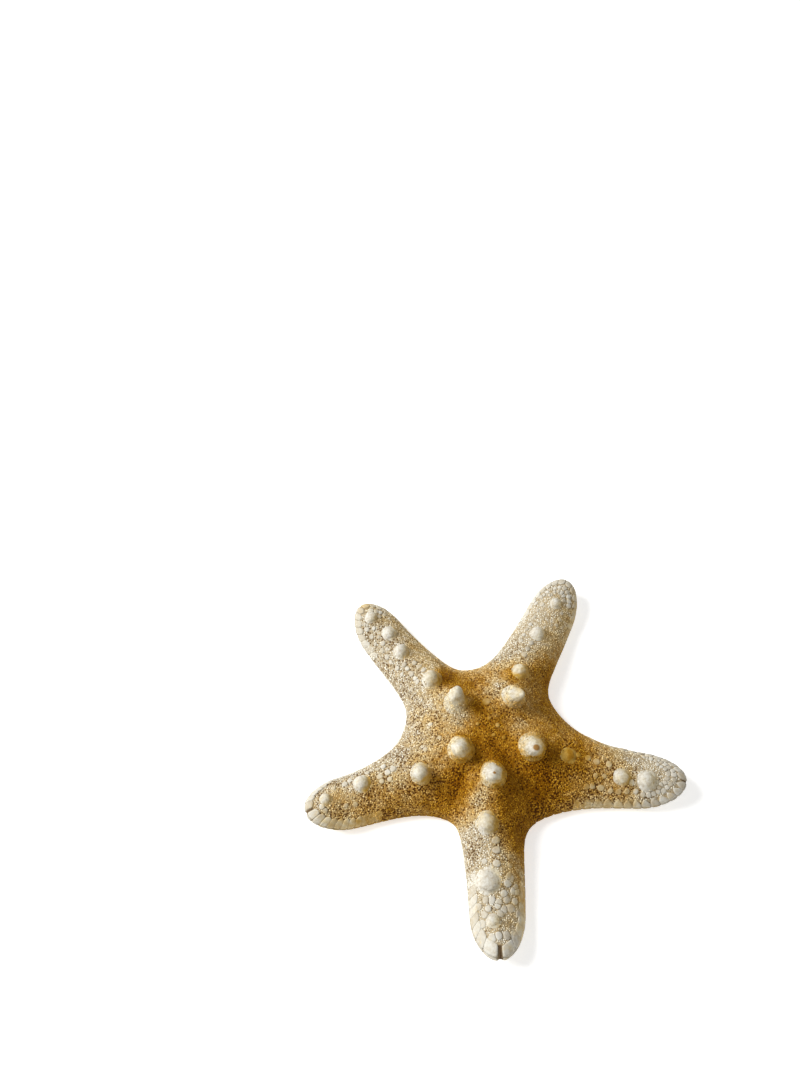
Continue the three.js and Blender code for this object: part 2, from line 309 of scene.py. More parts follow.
def wire(tree, kind, inputs=None, **settings):
    """Adds one node to a tree. An input takes a value, or the socket that feeds it."""
    node = tree.nodes.new(kind)
    for name, value in settings.items():
        setattr(node, name, value)
    for key, value in (inputs or {}).items():
        if isinstance(value, bpy.types.NodeSocket):
            tree.links.new(value, node.inputs[key])
        else:
            node.inputs[key].default_value = value
    return node


def maths(tree, operation, *values):
    """One sum on numbers, which are values or the sockets that feed them."""
    return wire(tree, "ShaderNodeMath", dict(enumerate(values)), operation=operation).outputs[0]


def stored(tree, name):
    """A number stored on every point of a piece."""
    return wire(tree, "ShaderNodeAttribute", attribute_name=name).outputs["Fac"]


def ramp(tree, factor, stops):
    node = wire(tree, "ShaderNodeValToRGB", {"Fac": factor})
    while len(node.color_ramp.elements) < len(stops):
        node.color_ramp.elements.new(0.5)
    for element, (place, colour) in zip(node.color_ramp.elements, stops):
        element.position = place
        element.color = (*colour, 1)
    return node.outputs["Color"]


def blend_colours(tree, factor, first, second, mode="MIX"):
    node = wire(tree, "ShaderNodeMix", {0: factor, 6: first, 7: second}, data_type="RGBA", blend_type=mode)
    return node.outputs[2]


def shaded(tree, colour, shade, share=1.0):
    """A colour darkened by a shade, in full or in part."""
    return blend_colours(tree, share, colour, shade, "MULTIPLY")


def bumped(tree, height, strength, depth, base=None):
    """Small bumps that follow a pattern, up to depth millimetres, on top of the bumps below them."""
    inputs = {"Height": height, "Strength": strength, "Distance": depth * 0.001}
    if base:
        inputs["Normal"] = base
    return wire(tree, "ShaderNodeBump", inputs).outputs[0]


def texture(tree, place, size, detail, roughness):
    """A noise pattern whose features are about size millimetres across."""
    inputs = {"Vector": place, "Scale": 1000 / size, "Detail": detail, "Roughness": roughness}
    return wire(tree, "ShaderNodeTexNoise", inputs).outputs["Fac"]


def cells(tree, place, spacing, randomness=1.0):
    """Distance from the middles of cells, spacing millimetres apart, in spacings."""
    inputs = {"Vector": place, "Scale": 1000 / spacing, "Randomness": randomness}
    return wire(tree, "ShaderNodeTexVoronoi", inputs).outputs["Distance"]


def limy_material(name, roughness, specular):
    """A material, its node tree, the shader that the tree feeds, and the place on the object."""
    made = bpy.data.materials.new(name)
    made.use_nodes = True
    shader = made.node_tree.nodes["Principled BSDF"]
    shader.inputs["Roughness"].default_value = roughness
    shader.inputs["Specular IOR Level"].default_value = specular
    place = wire(made.node_tree, "ShaderNodeTexCoord").outputs["Object"]
    return made, made.node_tree, shader, place


# The solid is centred on its box, so the disc's middle lies off the origin by the middle of the arms' span.
ends = np.concatenate([half.points(np.linspace(0, 1, 200), 1.0) for half in HALVES])
MIDDLE = np.array([*(-(ends.min(0) + ends.max(0)) / 2)[:2], 0.0])


STAIN_PATCHES = [(9, 0.5), (2.4, 0.6)]  # size, and how much they change the stain


def stained_and_shaded(tree, place, stops):
    """A colour by the stain and painted shade kept on every point, broken up into small and large patches."""
    stain_and_shade = stored(tree, "stain_and_shade")
    for size, amount in STAIN_PATCHES:
        patches = texture(tree, place, size, detail=3, roughness=0.6)
        stain_and_shade = maths(tree, "MULTIPLY_ADD", maths(tree, "SUBTRACT", patches, 0.5), amount, stain_and_shade)
    return ramp(tree, stain_and_shade, stops)


CRUST_COLOURS = [
    (0.05, (0.66, 0.645, 0.575)), (0.28, (0.69, 0.58, 0.35)), (0.5, (0.58, 0.38, 0.115)),
    (0.72, (0.47, 0.255, 0.022)), (0.95, (0.34, 0.155, 0.003)),
]
SUNK_SKIN_SHADE = (0.62, 0.51, 0.36, 1)  # the skin between the granules: its own darker tone, and painted shade of the hollows there
# The pores' holes are painted this dark colour as their shade.
PORE_SHADE = (0.20, 0.12, 0.05)
# The dark of the slit at a groove's end is painted shade.
SLIT_SHADE = (0.075, 0.042, 0.018, 1)
PORE_SPACING = 0.78
PORE_SCATTER = 0.95  # 0 for pores in straight rows, 1 for scattered ones
PORE_EDGE = 4.0  # how sharp a pore's edge is


def skin_material():
    made, tree, shader, place = limy_material("dried skin", 0.8, 0.06)
    sunk_shaded = shaded(tree, stained_and_shaded(tree, place, CRUST_COLOURS), SUNK_SKIN_SHADE)
    pores = cells(tree, place, PORE_SPACING, PORE_SCATTER)
    beyond = maths(tree, "SUBTRACT", pores, stored(tree, "pore"))
    rim = maths(tree, "MULTIPLY_ADD", beyond, PORE_EDGE, 0.5)
    # painted shade in the pore holes
    coloured = shaded(tree, sunk_shaded, ramp(tree, rim, [(0.3, PORE_SHADE), (0.8, (1, 1, 1))]), 0.95)
    # painted shade in the slit at a groove's end
    slit_shade = blend_colours(tree, stored(tree, "slit_shade"), coloured, SLIT_SHADE)
    tree.links.new(slit_shade, shader.inputs["Base Color"])
    grain = texture(tree, place, 1.1, detail=4, roughness=0.7)
    rough = bumped(tree, grain, 0.5, 0.3, bumped(tree, pores, 0.6, 0.3))
    tree.links.new(rough, shader.inputs["Normal"])
    return made


SKIN_ROWS = 126  # along a half arm
SKIN_COLUMNS = 60  # round its section
SKIN_DIPS = [(9, 0.7, 3), (3.5, 0.3, 11)]  # size across, depth, seed


def skin_grid(half):
    """Places in a half arm's own measures: t in equal steps, v in about equal steps over the skin."""
    fine = np.linspace(0, 3, 1200)
    steps = np.linalg.norm(np.diff(half.points(0.55, fine), axis=0), axis=1)
    run = np.concatenate([[0], np.cumsum(steps)])
    columns = np.interp(np.linspace(0, run[-1], SKIN_COLUMNS), run, fine)
    for fixed in (1.0, 2.0):
        columns[np.argmin(abs(columns - fixed))] = fixed
    return np.meshgrid(np.linspace(0, 1, SKIN_ROWS), columns, indexing="ij")


def unevenness(point, size, height, seed):
    """Swells and dips of a given size across and height."""
    return height * noise.noise(Vector(point) / size + Vector((seed, 0, 0)))


def grid_faces(first, rows, columns, turned):
    """The quads of a grid of points, turned over or not."""
    corners = [first + k * columns + j for k in range(rows - 1) for j in range(columns - 1)]
    quads = [(a, a + columns, a + columns + 1, a + 1) for a in corners]
    return [quad[::-1] for quad in quads] if turned else quads


def body_mesh():
    """The ten half arms side by side, with the slight dips of a dried skin and its rises round the horns."""
    points, faces, section, inland = [], [], [], []
    for half in HALVES:
        t, v = skin_grid(half)
        faces.extend(grid_faces(len(points), *t.shape, turned=half.side < 0))
        points.extend(half.points(t, v).reshape(-1, 3).tolist())
        section.extend(v.ravel().tolist())
        inland.extend(np.where(v < 1, half.inland(t, np.minimum(v, 1)), -1.0).ravel().tolist())
    rises = skin_rise(points)
    for point, v, rise in zip(points, section, rises):
        if v < 1:
            sag = sum(unevenness(point, *dip) for dip in SKIN_DIPS)
            point[2] += (sag + rise) * min(1, (1 - v) * 3)
    return np.array(points) + MIDDLE, faces, inland


body_shape, body_faces, body_inland = body_mesh()
body = piece("body", body_shape, body_faces, skin_material())
float_attribute(body, "inland", body_inland)
# The half arms are sewn together along ridges, bays and groove lines.
sewn = bmesh.new()
sewn.from_mesh(body.data)
bmesh.ops.remove_doubles(sewn, verts=sewn.verts, dist=2e-6)
sewn.to_mesh(body.data)
sewn.free()
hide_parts("starfish")

skin_points = np.array([vertex.co for vertex in body.data.vertices]) * 1000
skin_inland = np.array([item.value for item in body.data.attributes["inland"].data])
SKIN = BVHTree.FromPolygons(skin_points.tolist(), [tuple(face.vertices) for face in body.data.polygons])


def on_skin(points, heights):
    """Moves each point to the nearest place on the skin, and then out from it by its height."""
    nearest = [SKIN.find_nearest(Vector(point)) for point in points]
    return np.array([found[0] + found[1] * height for found, height in zip(nearest, heights)])


def keep_stain_and_shade(made, points, share=1.0, less=0.0):
    """Stores on every point of a piece the stain and painted shade of the skin nearest to it, or a share of
    it.
    """
    outward = np.array([SKIN.find_nearest(Vector(point))[1] for point in points])
    stain_and_shade = stain_and_shade_at(np.asarray(points) - MIDDLE, outward)
    float_attribute(made, "stain_and_shade", np.maximum(0, share * stain_and_shade - less))


keep_stain_and_shade(body, skin_points)
skin_outward = np.array([vertex.normal for vertex in body.data.vertices])
float_attribute(body, "pore", pore_at(skin_points - MIDDLE, skin_outward))
# At some arm ends the groove's end shows as a small slit, painted dark as its shade. Its length and half
# width:
END_SLITS = dict(east=(2.0, 0.35), north=(0, 0.1), northwest=(0, 0.1), west=(3.0, 0.5), south=(4.2, 0.8))
painted_slit_shade = np.zeros(len(skin_points))
for arm in ARMS:
    slit_length, slit_width = END_SLITS[arm["name"]]
    aim = math.radians(arm["aim"])
    sideways = (skin_points - MIDDLE) @ (-math.sin(aim), math.cos(aim), 0)
    forward = (skin_points - MIDDLE) @ (math.cos(aim), math.sin(aim), 0)
    reach = forward[abs(sideways) < 1].max()
    painted_slit_shade = np.maximum(painted_slit_shade, np.exp(-((sideways / slit_width) ** 2)) * (forward > reach - slit_length))
float_attribute(body, "slit_shade", painted_slit_shade)


def back_height(x, y):
    """Height of the back at a place seen from above, or 0 beyond the edge."""
    place = SKIN.ray_cast(Vector((x, y, 4 * DISC_HEIGHT)), Vector((0, 0, -1)))[0]
    return place.z if place else 0.0


def dome_faces(first, rings, sides):
    """Faces of a closed dome: its floor, the bands between its rings, and a fan round its top point."""
    top = first + rings * sides
    faces = [[first + n for n in reversed(range(sides))]]
    for k in range(rings - 1):
        for n in range(sides):
            a, b = first + k * sides + n, first + k * sides + (n + 1) % sides
            faces.append([a, b, b + sides, a + sides])
    faces.extend([top - sides + n, top - sides + (n + 1) % sides, top] for n in range(sides))
    return faces


# ------------------------------------------------------------------ horns
# Blunt horns stand in a ring on the disc and in one row down each arm. Each is a single thickened plate,
# smooth and chalky, and some have a worn tip. They grew out of the crust, so their feet flare into it.
HORN_SIDES = 40
HORN_RINGS = 26
HORN_DOME = 2.3  # how full a blunt horn's outline is
HORN_TAPER = 0.14
FOOT_FLARE = 0.34  # of the half width
FOOT_FLARE_HEIGHT = 0.12  # of the horn's height
BROAD_BUMPS = (1.3, 0.15)  # how many round a horn, and their height in half widths
SMALL_BUMPS = (4.5, 0.006)  # and in horn heights
HORN_SINK = 0.25  # the lowest ring lies this far under the skin
FOOT_STAIN_AND_SHADE_LIMIT = 0.7
GRANULES_CLIMB = 0.045  # granules climb a horn's foot by this share of its height, for each mm of its height
HORN_COLOURS = [
    (0.05, (0.63, 0.61, 0.54)), (0.25, (0.62, 0.565, 0.41)), (0.42, (0.59, 0.46, 0.24)),
    (0.62, (0.53, 0.34, 0.07)), (0.85, (0.38, 0.19, 0.01)),
]
VEIN_COLOUR = (0.5, 0.38, 0.22)
WORN_COLOUR = (0.26, 0.135, 0.035, 1)


def horn_material():
    made, tree, shader, place = limy_material("horn", 0.6, 0.12)
    chalk = stained_and_shaded(tree, place, HORN_COLOURS)
    upright = wire(tree, "ShaderNodeMapping", {"Vector": place, "Scale": (1, 1, 0.4)}).outputs[0]
    veins = texture(tree, upright, 0.9, detail=5, roughness=0.75)
    veined = shaded(tree, chalk, ramp(tree, veins, [(0.35, VEIN_COLOUR), (0.6, (1, 1, 1))]), 0.6)
    coloured = blend_colours(tree, stored(tree, "worn"), veined, WORN_COLOUR)
    tree.links.new(coloured, shader.inputs["Base Color"])
    pits = cells(tree, place, 0.6)
    chalky = bumped(tree, veins, 0.45, 0.4, bumped(tree, pits, 0.35, 0.2))
    tree.links.new(chalky, shader.inputs["Normal"])
    return made


def horn_points(arm, horn, seed):
    """Rings of a horn from its foot to its tip, with every point's share of the height and its wear."""
    along, left, width, height, shift_along, shift_left, worn, pointed, _ = horn
    foot_place = along_arm(arm, along, left)
    x0, y0 = foot_place + MIDDLE[:2]
    lean = along_arm(arm, shift_along, shift_left)
    top = back_height(x0, y0)
    height -= skin_rise([foot_place])[0]
    points, ups, wear = [], [], []
    for up in np.sin(np.linspace(0, 1, HORN_RINGS) * math.pi / 2) ** 1.15:
        dome = mix(math.sqrt(1 - up**HORN_DOME), (1 - up) ** 0.75, pointed) * (1 - HORN_TAPER * up)
        flare = FOOT_FLARE * math.exp(-up / FOOT_FLARE_HEIGHT)
        for angle in np.arange(HORN_SIDES) / HORN_SIDES * math.tau:
            around = Vector((math.cos(angle), math.sin(angle), 2.2 * up))
            bumps = 1 + BROAD_BUMPS[1] * noise.noise(around * BROAD_BUMPS[0] + Vector((seed, 0, 0)))
            bumps += SMALL_BUMPS[1] * height * noise.noise(around * SMALL_BUMPS[0] + Vector((0, seed, 0)))
            r = width / 2 * (0.94 * dome * bumps + flare)
            x, y = r * math.cos(angle) + lean[0] * up, r * math.sin(angle) + lean[1] * up
            ground = back_height(x0 + x, y0 + y) if up < 0.5 else top
            blend = min(1.0, up / 0.5) ** 2 * (3 - 2 * min(1.0, up / 0.5))
            z = mix(ground, top, blend) + up * height - HORN_SINK * (up == 0)
            points.append((x0 + x, y0 + y, z))
            from_tip = math.hypot(x - 0.95 * lean[0], y - 0.95 * lean[1])
            wear.append(np.clip((1.15 * worn - from_tip) / (0.3 * worn), 0, 1) if worn and up > 0.6 else 0.0)
            ups.append(up)
    return points, ups, wear


def horn_stains_and_shade(horn, place, around, ups, spots):
    """The stain on every point of a horn: the skin's at its foot, its own above, and more on the side turned
    from the window light, which is painted shade.
    """
    outward = (around - (*place, 0)) / (0.5 * horn[2])
    turned_from_light = facing_side(outward, SHADED_SIDE)
    # Painted shade: on the side turned from the window light the skin's stain reaches further up and the
    # horn's own ochre is stronger.
    bare = np.clip((ups - 0.3 * (0.5 + turned_from_light) + 0.25 * spots) / 0.7, 0, 1)
    bare *= np.clip(ups / (0.06 + 0.24 * np.clip(0.5 + turned_from_light, 0, 1)), 0, 1)
    own = horn[8] + 0.3 * np.clip(turned_from_light, -0.2, 1)
    foot_stain_and_shade = stain_and_shade_at(around, np.clip(outward, -1, 1))
    return mix(np.minimum(foot_stain_and_shade, FOOT_STAIN_AND_SHADE_LIMIT), own, bare * (2 - bare)), turned_from_light


def horns_mesh():
    points, faces, stain_and_shade, wear, room = [], [], [], [], []
    for number, (arm, horn) in enumerate(ALL_HORNS):
        rings, ups, ring_wear = horn_points(arm, horn, 5 * number)
        faces.extend(dome_faces(len(points), HORN_RINGS - 1, HORN_SIDES))
        kept = len(rings) - HORN_SIDES
        points.extend(rings[:kept] + [tuple(np.mean(rings[kept:], axis=0))])
        wear.extend(ring_wear[: kept + 1])
        ups = np.array(ups[: kept + 1])
        around = np.array(rings[: kept + 1]) - MIDDLE
        spots = np.array([noise.noise(Vector(point) / 1.6) for point in around])
        horn_stain_and_shade, turned_from_light = horn_stains_and_shade(horn, HORN_PLACES[number], around, ups, spots)
        stain_and_shade.extend(horn_stain_and_shade)
        climb = GRANULES_CLIMB * horn[3] * (1 - 0.4 * turned_from_light)
        room.extend(np.clip((climb + 0.2 * spots - ups) / 0.15, 0, 1) * (ups > 0))
    return points, faces, stain_and_shade, wear, room


horn_shape, horn_faces, horn_stain_and_shade, horn_wear, horn_room = horns_mesh()
horns = piece("horns", horn_shape, horn_faces, horn_material())
float_attribute(horns, "stain_and_shade", horn_stain_and_shade)
float_attribute(horns, "worn", horn_wear)
float_attribute(horns, "granule_room", horn_room)
float_attribute(horns, "arm_number", np.full(len(horn_shape), -1.0))
float_attribute(horns, "pore", np.full(len(horn_shape), 0.25))

# ------------------------------------------------------------------ back plates
# Here and there the crust shows bare through the granules as low pebble-like plates in rows along the arms.
# Outward on the south arm they cover most of the back, like paving with gaps.
# A row is: v (negative on the arm's right), start and end along the arm, step, plate's width.
PLATE_ROWS = {
    "east": [
        (0.02, 34, 47, 3.3, 2.3), (-0.25, 39, 57, 3.1, 2.1), (-0.44, 33, 60, 3.2, 2.2),
        (0.52, 54, 60, 2.2, 1.9),
    ],
    "north": [
        (0.06, 33, 40, 3.0, 2.0), (0.34, 36, 62, 3.4, 1.8), (-0.3, 50, 62, 2.9, 1.7), (0.5, 55, 62, 2.4, 1.9),
    ],
    "northwest": [
        (0.0, 31, 37, 2.6, 2.3), (0.26, 25, 38, 2.7, 2.2), (0.42, 32, 60, 3.4, 1.9), (0.28, 46, 60, 3.3, 1.9),
    ],
    "west": [
        (-0.14, 33, 44, 3.2, 2.3), (-0.34, 33, 60, 3.4, 2.0), (0.02, 37, 43, 3.0, 2.0),
        (0.26, 50, 60, 3.2, 1.7),
    ],
    "south": [
        (0.0, 38, 47, 3.5, 2.6), (0.3, 38, 47, 3.6, 2.0), (-0.27, 41, 48, 3.2, 1.9),
    ],
}
# Round the arm ends they follow the edge: distance in from it, start in shares of the edge, step, width.
END_ROWS = dict(
    east=[(3.5, 0.70, 2.4, 2.1), (5.7, 0.84, 2.6, 1.9)],
    north=[(3.6, 0.80, 2.5, 2.0), (6.0, 0.88, 2.8, 1.8)],
    northwest=[(3.6, 0.82, 2.5, 2.0), (6.0, 0.90, 2.8, 1.7)],
    west=[(4.3, 0.93, 2.5, 1.9)],
    south=[],
)
# The paving: step from row to row, distance between the plates of a row, their width and how far they slip
# out of place, and the size of its gaps, which are more as the limit falls.
PAVING = dict(
    arm="south", start=50.0, step=2.3, apart=2.6, width=2.8, slip=0.85, gap_size=2.6, gap_limit=0.28,
)
SLIT_GROUND = (1.6, 8.5)  # half width and length of the bare ground beside the slit at the arm's end
# On the disc: x, y and width. The widest is the sieve plate, through which the living star drew water.
DISC_PLATES = [
    (1.0, 10.2, 2.9), (1.5, 3.5, 1.5), (4.5, 1.0, 1.7), (3.0, -2.5, 1.4), (-2.5, 1.5, 1.3), (6.5, -3.5, 1.5),
    (-16, -3, 1.6), (-19, 3, 1.8), (-21, -7, 1.8), (-13, -9, 1.4),
]
BACK_PLATE_HEIGHT = 0.38
PLATE_TO_HORN = 0.8  # least distance from a horn's foot
LOWEST_PLATE = 4.5
CELL_CORNER = 11.0  # how square the plates' corners are
PILLOW_SIDES = 12
PILLOW_RINGS = [(0.9, -0.5), (1.0, 0.1), (0.95, 0.62), (0.82, 0.9), (0.5, 1.0)]  # share of reach, of height
RANDOM = np.random.default_rng(41)


def cell_reach(centres, directions, widest, gap):
    """How far each pillow may reach in each direction: halfway to its neighbours, with softened corners."""
    reach = np.empty((len(centres), directions.shape[1]))
    for i, centre in enumerate(centres):
        away = centres - centre
        distance = np.linalg.norm(away, axis=1)
        near = (distance > 1e-6) & (distance < 3 * widest[i])
        facing = directions[i] @ away[near].T / distance[near]
        halfway = (distance[near] - gap) / 2 / np.maximum(facing, 0.02)
        closest = (halfway**-CELL_CORNER).sum(axis=1) + widest[i] ** -CELL_CORNER
        reach[i] = closest ** (-1 / CELL_CORNER)
    return reach


def pillow_mesh(centres, widest, heights, gap=0.07, rings=PILLOW_RINGS, sides=PILLOW_SIDES):
    """Low domed plates on the skin, each filling its own cell between its neighbours."""
    outward = np.array([SKIN.find_nearest(Vector(c))[1] for c in centres])
    first = np.cross(outward, RANDOM.normal(size=outward.shape))
    first /= np.linalg.norm(first, axis=1, keepdims=True)
    second = np.cross(outward, first)
    angle = np.arange(sides) / sides * math.tau
    cosines, sines = np.cos(angle)[None, :, None], np.sin(angle)[None, :, None]
    directions = cosines * first[:, None] + sines * second[:, None]
    reach = cell_reach(centres, directions, widest, gap) * RANDOM.uniform(0.94, 1.04, (len(centres), sides))
    flat = [centres[:, None] + directions * reach[:, :, None] * share for share, _ in rings]
    flat.append(centres[:, None])
    lift = [np.repeat(heights[:, None] * rise, sides, axis=1) for _, rise in rings] + [heights[:, None]]
    points = on_skin(np.concatenate(flat, axis=1).reshape(-1, 3), np.concatenate(lift, axis=1).ravel())
    faces = []
    for base in range(0, len(points), len(rings) * sides + 1):
        faces.extend(dome_faces(base, len(rings), sides))
    return points, faces


def random_tint(made, count):
    """One number per plate, so that neighbours differ slightly in colour."""
    per_plate = len(made.data.vertices) // count
    float_attribute(made, "tint", np.repeat(RANDOM.uniform(0, 1, count), per_plate))


PLATE_TINTS = [(0, (0.74, 0.69, 0.61)), (1, (0.92, 0.92, 0.92))]
CHALK_SHADES = [(0.3, (0.62, 0.5, 0.34)), (0.62, (1, 1, 1))]


def plate_material(name, pit_size):
    made, tree, shader, place = limy_material(name, 0.65, 0.12)
    tints = ramp(tree, stored(tree, "tint"), PLATE_TINTS)
    varied = shaded(tree, stained_and_shaded(tree, place, CRUST_COLOURS), tints)
    chalk = texture(tree, place, 1.6, detail=5, roughness=0.7)
    dusted = shaded(tree, varied, ramp(tree, chalk, CHALK_SHADES), 0.5)
    tree.links.new(dusted, shader.inputs["Base Color"])
    pits = cells(tree, place, pit_size)
    chalky = bumped(tree, chalk, 0.4, 0.3, bumped(tree, pits, 0.3, 0.2))
    tree.links.new(chalky, shader.inputs["Normal"])
    return made


def on_back(x, y):
    """The place on the back over x and y, all from the disc's middle."""
    return x, y, back_height(x + MIDDLE[0], y + MIDDLE[1])


def plates_in_rows():
    """Middles and widths of the plates in rows along the arms and round their ends."""
    for half in HALVES:
        for v, start, end, step, width in PLATE_ROWS[half.arm["name"]]:
            along = start if (v < 0) == (half.side < 0) else end + 1
            while along < min(end, half.axis_end - 0.5):
                t = 1 - (1 - along / half.axis_end) ** (1 / AXIS_EASE)
                slip = RANDOM.normal(0, 0.016, 2)
                yield half.points(t + 0.3 * slip[0], abs(abs(v) + slip[1])), width * RANDOM.uniform(0.8, 1.15)
                along += step * RANDOM.uniform(0.85, 1.15)
        for inland, start, step, width in END_ROWS[half.arm["name"]]:
            for t in np.arange(start, 1, step / half.length):
                place = half.points(t, half.back_at(t, inland * RANDOM.uniform(0.94, 1.06)))
                yield place, width * RANDOM.uniform(0.8, 1.15)


def paving():
    """Middles and widths of the paving's plates."""
    paved = next(arm for arm in ARMS if arm["name"] == PAVING["arm"])
    for row, along in enumerate(np.arange(PAVING["start"], paved["reach"] - 3, PAVING["step"])):
        for place in np.arange(-2, 3.1) + 0.5 * (row % 2):
            slip = RANDOM.uniform(-PAVING["slip"], PAVING["slip"], 2)
            left = PAVING["apart"] * place + slip[1]
            if abs(left) < SLIT_GROUND[0] and along > paved["reach"] - SLIT_GROUND[1]:
                continue
            x, y = along_arm(paved, along + slip[0], left)
            if noise.noise(Vector((x, y, 7)) / PAVING["gap_size"]) > PAVING["gap_limit"]:
                continue
            ground = SKIN.find_nearest(Vector(on_back(x, y)) + Vector(MIDDLE))[0]
            yield np.array(ground) - MIDDLE, PAVING["width"] * RANDOM.uniform(0.85, 1.1)


def back_plate_centres():
    """Middles and widths of all the plates of the back, leaving the horns free."""
    plates = [(on_back(x, y), width) for x, y, width in DISC_PLATES] + list(plates_in_rows()) + list(paving())
    centres, widths = np.array([centre for centre, _ in plates]), np.array([width for _, width in plates])
    free = (horn_distances(centres) - 0.5 * HORN_WIDTHS).min(axis=1) > PLATE_TO_HORN
    free &= centres[:, 2] > LOWEST_PLATE
    return centres[free] + MIDDLE, widths[free]


back_centres, back_widths = back_plate_centres()
back_heights = BACK_PLATE_HEIGHT * RANDOM.uniform(0.6, 1.2, len(back_centres))
back_shape, back_faces = pillow_mesh(back_centres, back_widths / 2, back_heights)
back_plates = piece("back_plates", back_shape, back_faces, plate_material("bare back plate", 0.5))
random_tint(back_plates, len(back_centres))
keep_stain_and_shade(back_plates, back_shape, share=0.9, less=0.03)

# ------------------------------------------------------------------ edge plates
# Two rows of larger plates make the edge of every arm: the upper row is scalloped where it meets the back,
# the lower row turns under onto the flat. They are worn smooth and pale near the arm ends.
# Length of a plate along the edge, and of the last plates at the arm's end.
EDGE_PLATE_LENGTHS = dict(east=3.7, north=3.4, northwest=3.3, west=2.75, south=4.0)
LAST_PLATE_LENGTHS = dict(east=2.9, north=3.2, northwest=3.0, west=3.0, south=6.5)
EDGE_PLATE_HEIGHT = 0.38
EDGE_PLATES_START = dict(east=42, north=50, northwest=52, west=47, south=50)  # bare from here outward
EDGE_PLATES_RISE = 10.0  # over this length they rise out of the granules
EDGE_GRID = 9
EDGE_PLATE_SHARE = 0.988  # of its length along the edge, the rest is joint
EDGE_CORNER = 0.06
PLATE_SINK = 0.5  # an edge plate's bed lies this far under its place on the skin
UNDER_REACH = (0.55, 4.2)  # how far the lower row reaches onto the flat: in v, and at most in mm
# How far in from the edge the upper row reaches, how far its plates come to a point there, and how much of
# their height stays at their joints, on the left and on the right of an arm.
EDGE_ROWS = dict(
    east=((2.2, 0.4, 0.4), (1.8, 0.75, 0.2)), north=((2.0, 0.3, 0.6), (1.8, 0.3, 0.7)),
    northwest=((2.2, 0.4, 0.4), (1.6, 0.2, 0.7)), west=((2.6, 0.3, 0.6), (1.9, 0.2, 0.7)),
    south=((2.9, 0.15, 0.85), (3.5, 0.2, 0.85)),
)


def edge_cuts(half):
    """Joints between edge plates along t."""
    name = half.arm["name"]
    full, final = EDGE_PLATE_LENGTHS[name], LAST_PLATE_LENGTHS[name]
    cuts, last = [0.0], 1 - END_SLITS[name][1] / half.length
    while cuts[-1] < last:
        cuts.append(cuts[-1] + np.interp(cuts[-1], [0.8, 0.95], [full, final]) / half.length)
    return np.array(cuts) / cuts[-1] * last


def edge_plate(half, start, end, upper):
    """A grid of one plate with its outward directions and its dome."""
    side = np.linspace(-1, 1, EDGE_GRID)
    across, up = np.meshgrid(side, side, indexing="ij")
    rounded_across = across * (1 - EDGE_CORNER * up**4)
    rounded_up = up * (1 - EDGE_CORNER * across**4)
    t = mix(start, end, 0.5 + EDGE_PLATE_SHARE / 2 * rounded_across)
    row_width, pointed, joint = EDGE_ROWS[half.arm["name"]][half.side < 0]
    if upper:
        crest = row_width - pointed * (2 * abs(across) ** 1.4 - 0.6)
        v = half.back_at(t, mix(0.02, crest, 0.5 + 0.5 * rounded_up))
    else:
        inner = 2.0 + np.minimum(UNDER_REACH[0], UNDER_REACH[1] / half.section(t)[3])
        v = mix(1.015, inner, 0.5 + 0.5 * rounded_up)
    dome = mix(joint, 1, ((1 - abs(across) ** 5) * (1 - abs(up) ** 5)) ** 0.5)
    return half.points(t, v), half.normals(t, v), dome


def grid_rim(size):
    """Rows and columns of the outermost points of a square grid, in order round it."""
    last = size - 1
    ahead = [(k, 0) for k in range(last)] + [(last, k) for k in range(last)]
    return ahead + [(last - k, last - j) for k, j in ahead]


def edge_mesh(upper):
    points, faces, plates = [], [], 0
    rim = grid_rim(EDGE_GRID)
    for half in HALVES:
        turned = (half.side > 0) != upper
        cuts = edge_cuts(half)
        for start, end in zip(cuts[:-1], cuts[1:]):
            base, outward, dome = edge_plate(half, start, end, upper)
            away = np.hypot(base[..., 0], base[..., 1])
            bare = np.clip((away - EDGE_PLATES_START[half.arm["name"]]) / EDGE_PLATES_RISE, 0, 1)
            if upper and bare.max() == 0:
                continue
            height = EDGE_PLATE_HEIGHT * RANDOM.uniform(0.85, 1.1)
            first = len(points)
            if upper:
                bed = (base + MIDDLE).reshape(-1, 3)
                points.extend(on_skin(bed, (dome * height * mix(0.1, 1, bare)).ravel()).tolist())
            else:
                top = base + MIDDLE + outward * (dome * height)[..., None]
                points.extend(top.reshape(-1, 3).tolist())
            points.extend((base[k, j] - PLATE_SINK * outward[k, j] + MIDDLE).tolist() for k, j in rim)
            faces.extend(grid_faces(first, EDGE_GRID, EDGE_GRID, turned=not turned))
            under = first + EDGE_GRID**2
            for n in range(len(rim)):
                m = (n + 1) % len(rim)
                a, b = (first + k * EDGE_GRID + j for k, j in (rim[n], rim[m]))
                quad = [a, under + n, under + m, b]
                faces.append(quad if turned else quad[::-1])
            bottom = [under + n for n in range(len(rim))]
            faces.append(bottom[::-1] if turned else bottom)
            plates += 1
    return points, faces, plates


edge_material = plate_material("edge plate", 0.45)
for row_name, is_upper in (("upper_edge_plates", True), ("lower_edge_plates", False)):
    edge_points, edge_faces, edge_count = edge_mesh(is_upper)
    edge_plates = piece(row_name, edge_points, edge_faces, edge_material)
    random_tint(edge_plates, edge_count)
    keep_stain_and_shade(edge_plates, edge_points)

